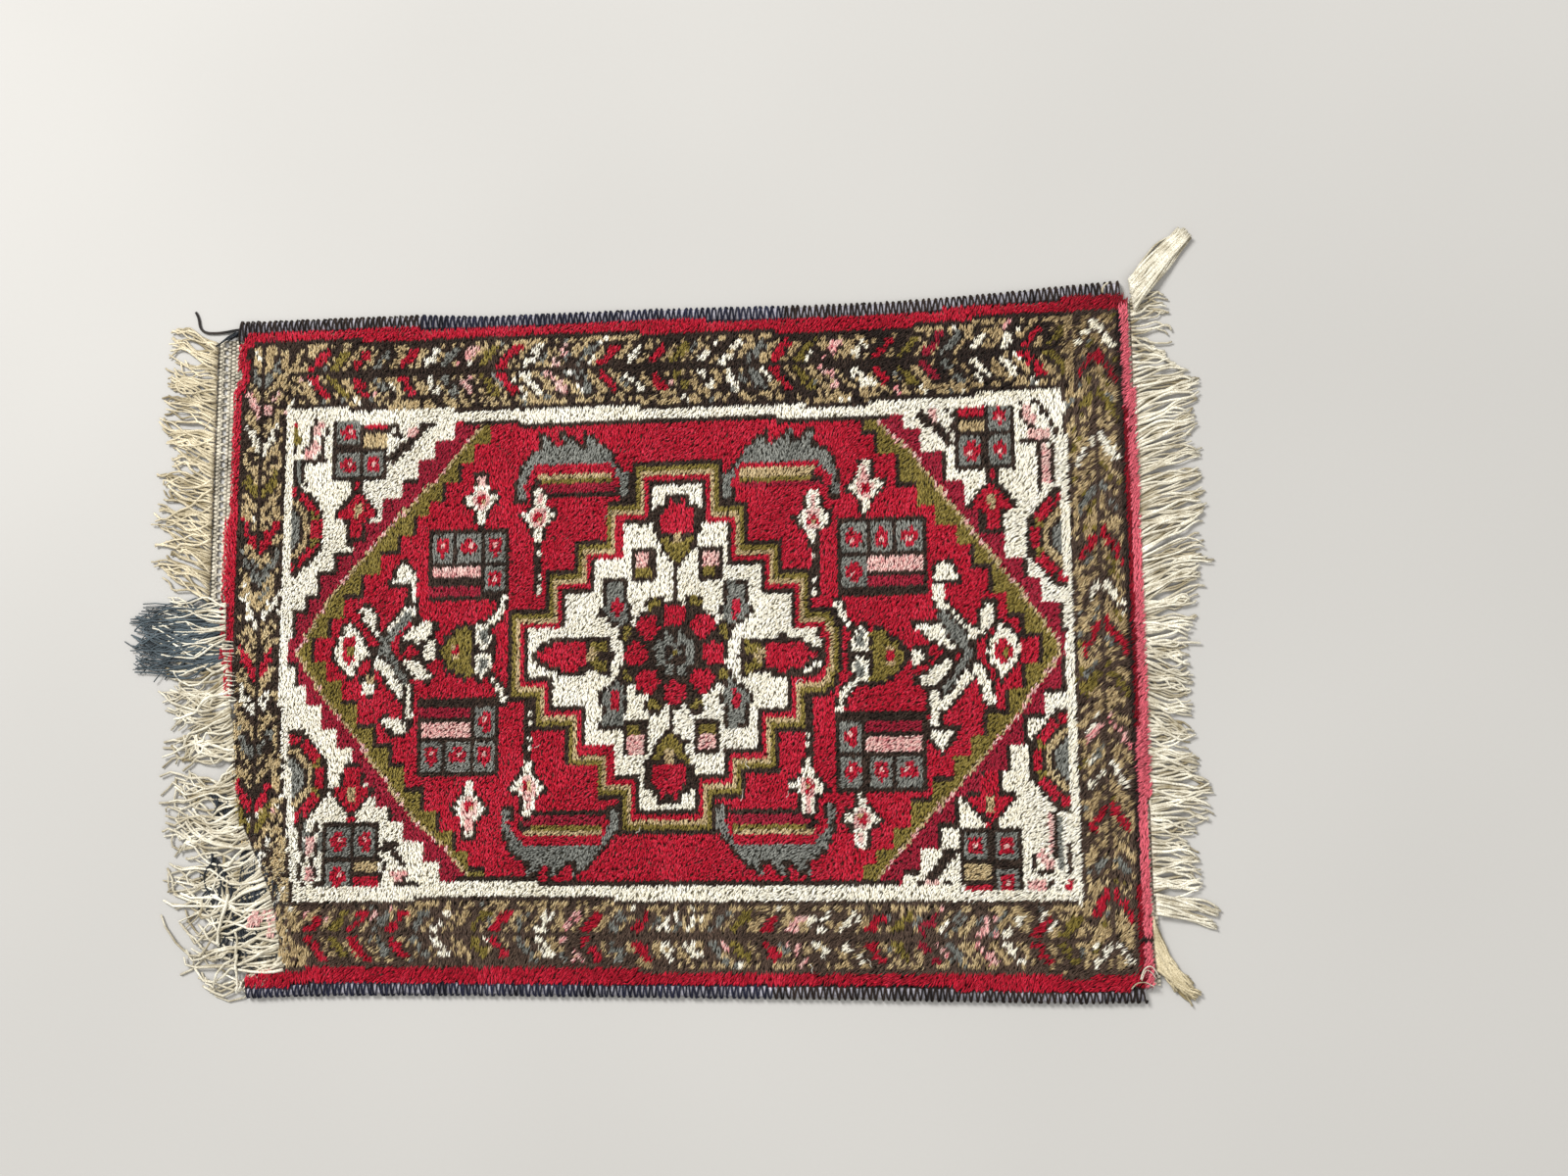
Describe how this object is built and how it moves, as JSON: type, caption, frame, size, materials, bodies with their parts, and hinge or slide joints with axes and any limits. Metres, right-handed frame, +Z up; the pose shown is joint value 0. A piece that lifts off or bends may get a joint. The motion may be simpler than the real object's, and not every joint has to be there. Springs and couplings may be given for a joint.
{
  "type": "rug",
  "caption": "Small hand-knotted wool rug with a hexagonal field, stepped centre medallion, herringbone border, overcast long sides and cotton fringes at both ends; lies flat on a floor.",
  "frame": {"origin": "centre of the ground weave's underside, on the floor that the rug lies on", "axes": "+X along the rug's length, towards the end with the whiter, longer fringe; +Y across it; +Z up, out of the pile"},
  "size_m": [0.9442, 0.6432, 0.0095],
  "materials": {
    "crimson_wool": "matt, hand-spun wool yarn",
    "faded_pink_wool": "matt, hand-spun wool yarn",
    "dark_crimson_wool": "matt, hand-spun wool yarn",
    "ivory_wool": "matt, hand-spun wool yarn",
    "tan_wool": "matt, hand-spun wool yarn",
    "olive_wool": "matt, hand-spun wool yarn",
    "slate_wool": "matt, hand-spun wool yarn",
    "brown_wool": "matt, hand-spun wool yarn",
    "navy_wool": "matt, hand-spun wool yarn",
    "slate_weft_yarn": "matt, loosely spun dyed weft yarn",
    "cotton_warp": "matt, undyed cotton yarn"
  },
  "bodies": {
    "root": {"binding_bottom_brown_right": "brown_wool", "binding_bottom_navy_left": "navy_wool", "binding_tail": "brown_wool", "binding_top_brown_left": "brown_wool", "binding_top_brown_right": "brown_wool", "binding_top_navy_middle": "navy_wool", "border_bottom": "tan_wool", "border_left": "tan_wool", "border_right": "tan_wool", "border_top": "tan_wool", "centre_rosette": "crimson_wool", "comb_bottom_left": "slate_wool", "comb_bottom_right": "slate_wool", "comb_top_left": "slate_wool", "comb_top_right": "slate_wool", "corner_box_bottom_left": "slate_wool", "corner_box_bottom_right": "slate_wool", "corner_box_top_left": "slate_wool", "corner_box_top_right": "slate_wool", "field_box_bottom_left": "slate_wool", "field_box_bottom_right": "slate_wool", "field_box_top_left": "slate_wool", "field_box_top_right": "slate_wool", "field_left": "crimson_wool", "field_right": "crimson_wool", "fringe_left_lower": "cotton_warp", "fringe_left_upper": "cotton_warp", "fringe_right": "cotton_warp", "ground_weave": "cotton_warp", "inner_guard_bottom": "ivory_wool", "inner_guard_left": "ivory_wool", "inner_guard_right": "ivory_wool", "inner_guard_top": "ivory_wool", "kilim_end_left": "cotton_warp", "kilim_end_right": "cotton_warp", "medallion_ground": "ivory_wool", "medallion_outline_bottom_left": "olive_wool", "medallion_outline_bottom_right": "olive_wool", "medallion_outline_top_left": "olive_wool", "medallion_outline_top_right": "olive_wool", "olive_band_bottom_left": "olive_wool", "olive_band_bottom_right": "olive_wool", "olive_band_top_left": "olive_wool", "olive_band_top_right": "olive_wool", "outer_guard_bottom": "crimson_wool", "outer_guard_left": "crimson_wool", "outer_guard_right": "faded_pink_wool", "outer_guard_top": "crimson_wool", "red_band_bottom_left": "dark_crimson_wool", "red_band_bottom_right": "dark_crimson_wool", "red_band_top_left": "dark_crimson_wool", "red_band_top_right": "dark_crimson_wool", "selvedge_core_bottom": "cotton_warp", "selvedge_core_top": "cotton_warp", "spandrel_bottom_left": "ivory_wool", "spandrel_bottom_right": "ivory_wool", "spandrel_top_left": "ivory_wool", "spandrel_top_right": "ivory_wool", "tassel_top_right": "cotton_warp", "weft_bunch": "slate_weft_yarn"}
  },
  "joints": []
}
